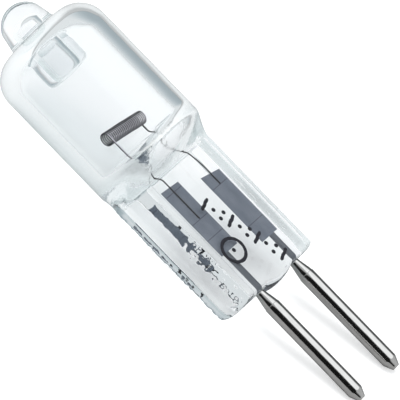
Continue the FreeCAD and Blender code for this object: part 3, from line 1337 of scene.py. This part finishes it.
@dataclass
class StampedMarks:
    """Plain marks in black ink: a ring with a dot, and a slanting row of short strokes and dots."""

    pose: RestPose
    sizes: BulbSizes
    stroke: float = 0.24
    dot_radius: float = 0.15
    film: float = 0.012
    ring_centre: Pair = (1.35, 3.0)
    ring_radius: float = 0.85
    row_start: Pair = (0.42, 6.35)
    row_end: Pair = (-1.5, 0.75)
    row: str = "|.:|.:|.:|"
    pair_offset: float = 0.28
    stroke_length: float = 1.1
    stroke_sway: float = 0.02
    stroke_steps: int = 8
    width_change: float = 0.16
    end_width: float = 0.55
    band_top: float = 0.9
    dot_top: float = 0.94
    dot_sides: int = 20
    ring_sides: int = 48

    @property
    def film_heights(self) -> Pair:
        """Underside and face of the ink, just clear of the glass."""
        return self.sizes.web_half + 0.001, self.sizes.web_half + self.film

    def row_marks(self, piece: MeshPiece) -> None:
        """Adds a slanting row of plain strokes with single dots and pairs of dots between them.

        Args:
            piece: Mesh that takes the marks.
        """
        start, end = Vector(self.row_start), Vector(self.row_end)
        run = (end - start).normalized()
        across = Vector((-run.y, run.x))
        for index, mark in enumerate(self.row):
            middle = start.lerp(end, index / (len(self.row) - 1))
            if mark == "|":
                reach, steps = self.stroke_length / 2, self.stroke_steps
                path = [middle + across * mix(-reach, reach, k / steps)
                        + run * self.stroke_sway * math.sin(k * 1.7 + index) for k in range(steps + 1)]
                self.band(piece, [tuple(point) for point in path])
                continue
            for offset in ((0.0,) if mark == "." else (-self.pair_offset, self.pair_offset)):
                self.dot(piece, tuple(middle + across * offset))

    def dot(self, piece: MeshPiece, middle: Pair) -> None:
        """Adds one round dot.

        Args:
            piece: Mesh that takes the dot.
            middle: Its place across the face and its height.
        """
        low, high = self.film_heights
        x, z = middle
        numbers = piece.add_rings([[(a, y, b) for a, b, _ in circle(radius, 0.0, self.dot_sides, x, z)]
                                   for radius, y in ((self.dot_radius, low),
                                                     (self.dot_radius * self.dot_top, high))])
        piece.add_fan(numbers[-1], (x, high, z))
        piece.add_fan(numbers[0], (x, low, z))

    def band(self, piece: MeshPiece, path: Sequence[Pair], closed: bool = False) -> None:
        """Raises a thin band of ink, one stroke wide, along a path on the face.

        Args:
            piece: Mesh that takes the band.
            path: Middle line as places across the face and heights.
            closed: Whether the path joins up with itself.
        """
        low, high = self.film_heights
        count = len(path)
        rings = []
        for index, (x, z) in enumerate(path):
            before = path[(index - 1) % count] if closed else path[max(index - 1, 0)]
            after = path[(index + 1) % count] if closed else path[min(index + 1, count - 1)]
            run = Vector((after[0] - before[0], after[1] - before[1])).normalized()
            width = 1.0 + self.width_change * noise.noise(Vector((x * 5.0, z * 5.0, 1.0)))
            if not closed and index in (0, count - 1):
                width *= self.end_width
            half = self.stroke / 2 * width
            nx, nz, top = -run.y * half, run.x * half, self.band_top
            rings.append([(x + nx, low, z + nz), (x + nx * top, high, z + nz * top),
                          (x - nx * top, high, z - nz * top), (x - nx, low, z - nz)])
        numbers = piece.add_rings(rings + ([rings[0]] if closed else []))
        if not closed:
            piece.faces.append(tuple(numbers[0]))
            piece.faces.append(tuple(reversed(numbers[-1])))

    def build(self) -> bpy.types.Object:
        """Makes the marks, riding on the bulb.

        Returns:
            The marks, as one piece.
        """
        piece = MeshPiece("ink_marks", self.pose)
        ring = [(x, z) for x, z, _ in circle(self.ring_radius, 0.0, self.ring_sides, *self.ring_centre)]
        self.band(piece, ring, closed=True)
        self.dot(piece, self.ring_centre)
        self.row_marks(piece)
        made = piece.build(StampInk().build())
        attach(made, "root")
        LOG.info("ink marks: %d faces", len(piece.faces))
        return made


# Stage: floor, light and camera

@dataclass
class PhotoCamera:
    """Camera at the photograph's angle, rolled so that the bulb runs down to the right."""

    pose: RestPose
    turn: float = 44.0
    lean: float = 3.0
    roll: float = 45.88
    pixels_per_mm: float = 16.0
    frame_pixels: float = 400.0
    anchor_height: float = 19.19
    anchor_pixel: Pair = (59.0, 60.8)
    distance: float = 600.0

    def axes(self) -> tuple[Vector, Vector, Vector]:
        """Directions of the picture in the world.

        Returns:
            Picture right, picture up and the way to the camera.
        """
        rho, tau, phi = math.radians(self.turn), math.radians(self.lean), math.radians(self.roll)
        out = Vector((math.sin(rho), math.cos(rho), 0.0))
        towards = out * math.cos(tau) - Vector((0.0, 0.0, 1.0)) * math.sin(tau)
        down_axis = -(Vector((0.0, 0.0, 1.0)) * math.cos(tau) + out * math.sin(tau))
        across = Vector((-math.cos(rho), math.sin(rho), 0.0))
        right = down_axis * math.cos(phi) + across * math.sin(phi)
        upward = across * math.cos(phi) - down_axis * math.sin(phi)
        return self.pose.direction(right), self.pose.direction(upward), self.pose.direction(towards)

    def build(self) -> bpy.types.Object:
        """Makes the camera and gives it to the scene.

        Returns:
            The camera.
        """
        right, upward, towards = self.axes()
        anchor = self.pose.place((0.0, 0.0, self.anchor_height))
        aim_x = (self.frame_pixels / 2 - self.anchor_pixel[0]) / self.pixels_per_mm * MM
        aim_y = (self.anchor_pixel[1] - self.frame_pixels / 2) / self.pixels_per_mm * MM
        middle = anchor + right * aim_x + upward * aim_y
        data = bpy.data.cameras.new("photo_camera")
        data.sensor_width = 36.0
        data.lens = data.sensor_width * self.distance / (self.frame_pixels / self.pixels_per_mm)
        data.clip_start, data.clip_end = 0.01, 20.0
        camera = bpy.data.objects.new("photo_camera", data)
        turn = Matrix((right, upward, towards)).transposed().to_4x4()
        turn.translation = middle + towards * self.distance * MM
        camera.matrix_world = turn
        bpy.context.scene.collection.objects.link(camera)
        bpy.context.scene.camera = camera
        return camera


class RayKind(Enum):
    """Kinds of ray that see the stage in their own way."""

    CAMERA = "Is Camera Ray"
    DIFFUSE = "Is Diffuse Ray"
    GLOSSY = "Is Glossy Ray"
    TRANSMISSION = "Is Transmission Ray"


@dataclass
class StudioStage:
    """White floor in a room that is white to the eye and has its own shades in metal and in glass.

    Mirror rays see a grey room, with a dark patch on the viewer's side, a dark wall behind the bulb and one
    wide soft box. Rays that have gone into the glass see a white room that turns grey behind the bulb.
    Angles are in degrees, and places on the floor in metres.
    """

    pose: RestPose
    camera: PhotoCamera
    box_turn: float = 56.0
    box_angles: Pair = (29.0, 39.0)
    patch_lift: float = 0.38
    patch_angles: Pair = (36.0, 50.0)
    patch_shade: float = 0.02
    wall_angles: Pair = (26.0, 52.0)
    wall_shade: float = 0.05
    room_shade: float = 0.46
    glass_angles: Pair = (14.0, 40.0)
    glass_base: float = 0.9
    glass_wall_shade: float = 0.56
    wall_tint: Colour = (0.6, 0.86, 1.0)
    soft_light: float = 0.6
    floor_half: float = 1.5
    floor_colour: float = 0.8
    floor_shades: Pair = (0.72, 0.88)
    floor_rise: Pair = (-0.012, 0.008)
    floor_fall: Pair = (0.018, 0.06)
    mirror_floor_shade: float = 0.36
    camera_glow: float = 0.42
    glass_glow: float = 0.36

    def behind(self) -> Vector:
        """Level direction away from the camera."""
        towards = self.camera.axes()[2]
        return Vector((-towards.x, -towards.y, 0.0)).normalized()

    @staticmethod
    def lobe(pen: NodePen, looking: Socket, middle: Vector, angles: Pair,
             levels: Pair) -> Socket:
        """Level over the directions round the bulb, with one soft round patch.

        Args:
            pen: World being wired.
            looking: Direction socket.
            middle: Direction of the patch's middle.
            angles: Degrees from the middle where the patch is full and where it has ended.
            levels: Level outside the patch and inside it.

        Returns:
            The level's socket.
        """
        inner, outer = (math.cos(math.radians(angle)) for angle in angles)
        return pen.span(pen.along(looking, middle), (outer, inner), levels)

    @staticmethod
    def through_glass(pen: NodePen, path: bpy.types.Node) -> Socket:
        """One for rays that have gone into the glass, and nought for the rest.

        Args:
            pen: Material or world being wired.
            path: Its Light Path node.

        Returns:
            The value's socket.
        """
        return pen.above(path.outputs["Transmission Depth"], 0.5)

    def floor(self) -> None:
        """Lays a wide pale floor that keeps the bulb's shadow."""
        pen = NodePen("pale_floor")
        path = pen.node("ShaderNodeLightPath")
        inside = self.through_glass(pen, path)
        place = pen.along(pen.node("ShaderNodeNewGeometry").outputs["Position"], self.behind())
        # Painted shade on the floor, seen only in mirror rays and through the glass: darker in mirrors, and
        # through the glass darker just in front of the bulb and grey far behind it.
        near = pen.span(place, self.floor_rise, self.floor_shades)
        in_glass = pen.times(near, pen.span(place, self.floor_fall, (1.0, self.glass_wall_shade)))
        in_mirror = pen.span(path.outputs[RayKind.GLOSSY.value], (0.0, 1.0), (1.0, self.mirror_floor_shade))
        shade = pen.times(pen.choose(inside, in_mirror, in_glass), self.floor_colour)
        colour = pen.node("ShaderNodeCombineColor")
        for name in ("Red", "Green", "Blue"):
            pen.link(shade, colour.inputs[name])
        diffuse = pen.node("ShaderNodeBsdfDiffuse")
        pen.link(colour.outputs["Color"], diffuse.inputs["Color"])
        glow = pen.node("ShaderNodeEmission")
        to_camera = pen.times(path.outputs[RayKind.CAMERA.value], self.camera_glow)
        # The floor's glow seen through the glass follows the same painted shade.
        to_glass = pen.times(pen.times(inside, in_glass), self.glass_glow)
        pen.link(pen.reckon("ADD", to_camera, to_glass), glow.inputs["Strength"])
        total = pen.node("ShaderNodeAddShader")
        pen.link(diffuse.outputs[0], total.inputs[0])
        pen.link(glow.outputs[0], total.inputs[1])
        pen.link(total.outputs[0], pen.output.inputs["Surface"])
        mesh = bpy.data.meshes.new("floor")
        half = self.floor_half
        corners = [(-half, -half, 0), (half, -half, 0), (half, half, 0), (-half, half, 0)]
        mesh.from_pydata(corners, [], [(0, 1, 2, 3)])
        mesh.materials.append(pen.material)
        floor = bpy.data.objects.new("floor", mesh)
        bpy.context.scene.collection.objects.link(floor)

    def world(self) -> None:
        """White for the camera, shades for metal and glass, and plain soft light on matt surfaces."""
        world = bpy.data.worlds.new("studio")
        world.use_nodes = True
        pen = NodePen.over(world.node_tree, "ShaderNodeOutputWorld")
        path = pen.node("ShaderNodeLightPath")
        towards, behind = self.camera.axes()[2], self.behind()
        beside = towards.cross(self.pose.direction((0.0, 0.0, -1.0)))
        turn = math.radians(self.box_turn)
        aim = towards * math.cos(turn) + beside * math.sin(turn)
        facing = (Vector((0.0, 0.0, self.patch_lift)) - behind).normalized()
        looking = pen.node("ShaderNodeTexCoord").outputs["Generated"]
        patch = self.lobe(pen, looking, facing, self.patch_angles, (1.0, self.patch_shade))
        wall = self.lobe(pen, looking, behind, self.wall_angles, (self.room_shade, self.wall_shade))
        box = self.lobe(pen, looking, aim, self.box_angles, (0.0, 1.0))
        metal = pen.most(pen.times(patch, wall), box)
        glass = self.lobe(pen, looking, behind, self.glass_angles, (self.glass_base, self.glass_wall_shade))
        level = pen.choose(self.through_glass(pen, path), metal, glass)
        camera = path.outputs[RayKind.CAMERA.value]
        seen = pen.most(path.outputs[RayKind.GLOSSY.value], path.outputs[RayKind.TRANSMISSION.value])
        total = pen.most(camera, pen.times(seen, level))
        total = pen.most(total, pen.times(path.outputs[RayKind.DIFFUSE.value], self.soft_light))
        cool = pen.node("ShaderNodeMix", data_type="RGBA")
        pen.link(pen.most(glass, camera), cool.inputs["Factor"])
        cool.inputs["A"].default_value = (*self.wall_tint, 1.0)
        cool.inputs["B"].default_value = (1.0, 1.0, 1.0, 1.0)
        background = pen.node("ShaderNodeBackground")
        pen.link(cool.outputs["Result"], background.inputs["Color"])
        pen.link(total, background.inputs["Strength"])
        pen.link(background.outputs[0], pen.output.inputs["Surface"])
        bpy.context.scene.world = world

    def lamp(self, name: str, direction: Vector, distance: float, size: float, power: float) -> None:
        """Sets up a soft square lamp that faces the bulb and lights only matt surfaces.

        Args:
            name: Lamp's name.
            direction: Way from the bulb to the lamp.
            distance: Distance in metres.
            size: Side in metres.
            power: Power in watts.
        """
        data = bpy.data.lights.new(name, "AREA")
        data.shape = "SQUARE"
        data.size = size
        data.energy = power
        lamp = bpy.data.objects.new(name, data)
        facing = direction.to_track_quat("Z", "Y").to_matrix().to_4x4()
        lamp.matrix_world = Matrix.Translation(direction.normalized() * distance) @ facing
        lamp.visible_glossy = False
        lamp.visible_transmission = False
        bpy.context.scene.collection.objects.link(lamp)

    def build(self) -> None:
        """Builds the whole stage."""
        self.floor()
        self.world()
        self.lamp("key_lamp", Vector((-0.25, 0.15, 0.9)), distance=0.5, size=0.35, power=1.6)
        self.lamp("fill_lamp", Vector((0.5, -0.7, 0.6)), distance=0.5, size=0.4, power=0.6)
        LOG.info("stage: floor, world and lamps")


def main() -> None:
    logging.basicConfig(level=logging.INFO, format="%(message)s")
    sizes = BulbSizes()
    pose = RestPose(sizes)
    for assembly in (GlassEnvelope, WoundFilament, SealedFoils, ContactPins, StampedMarks):
        LOG.info("building %s", assembly.__name__)
        assembly(pose, sizes).build()
    camera = PhotoCamera(pose)
    camera.build()
    StudioStage(pose, camera).build()
    bpy.context.scene.view_settings.view_transform = "Standard"


if __name__ == "__main__":
    main()
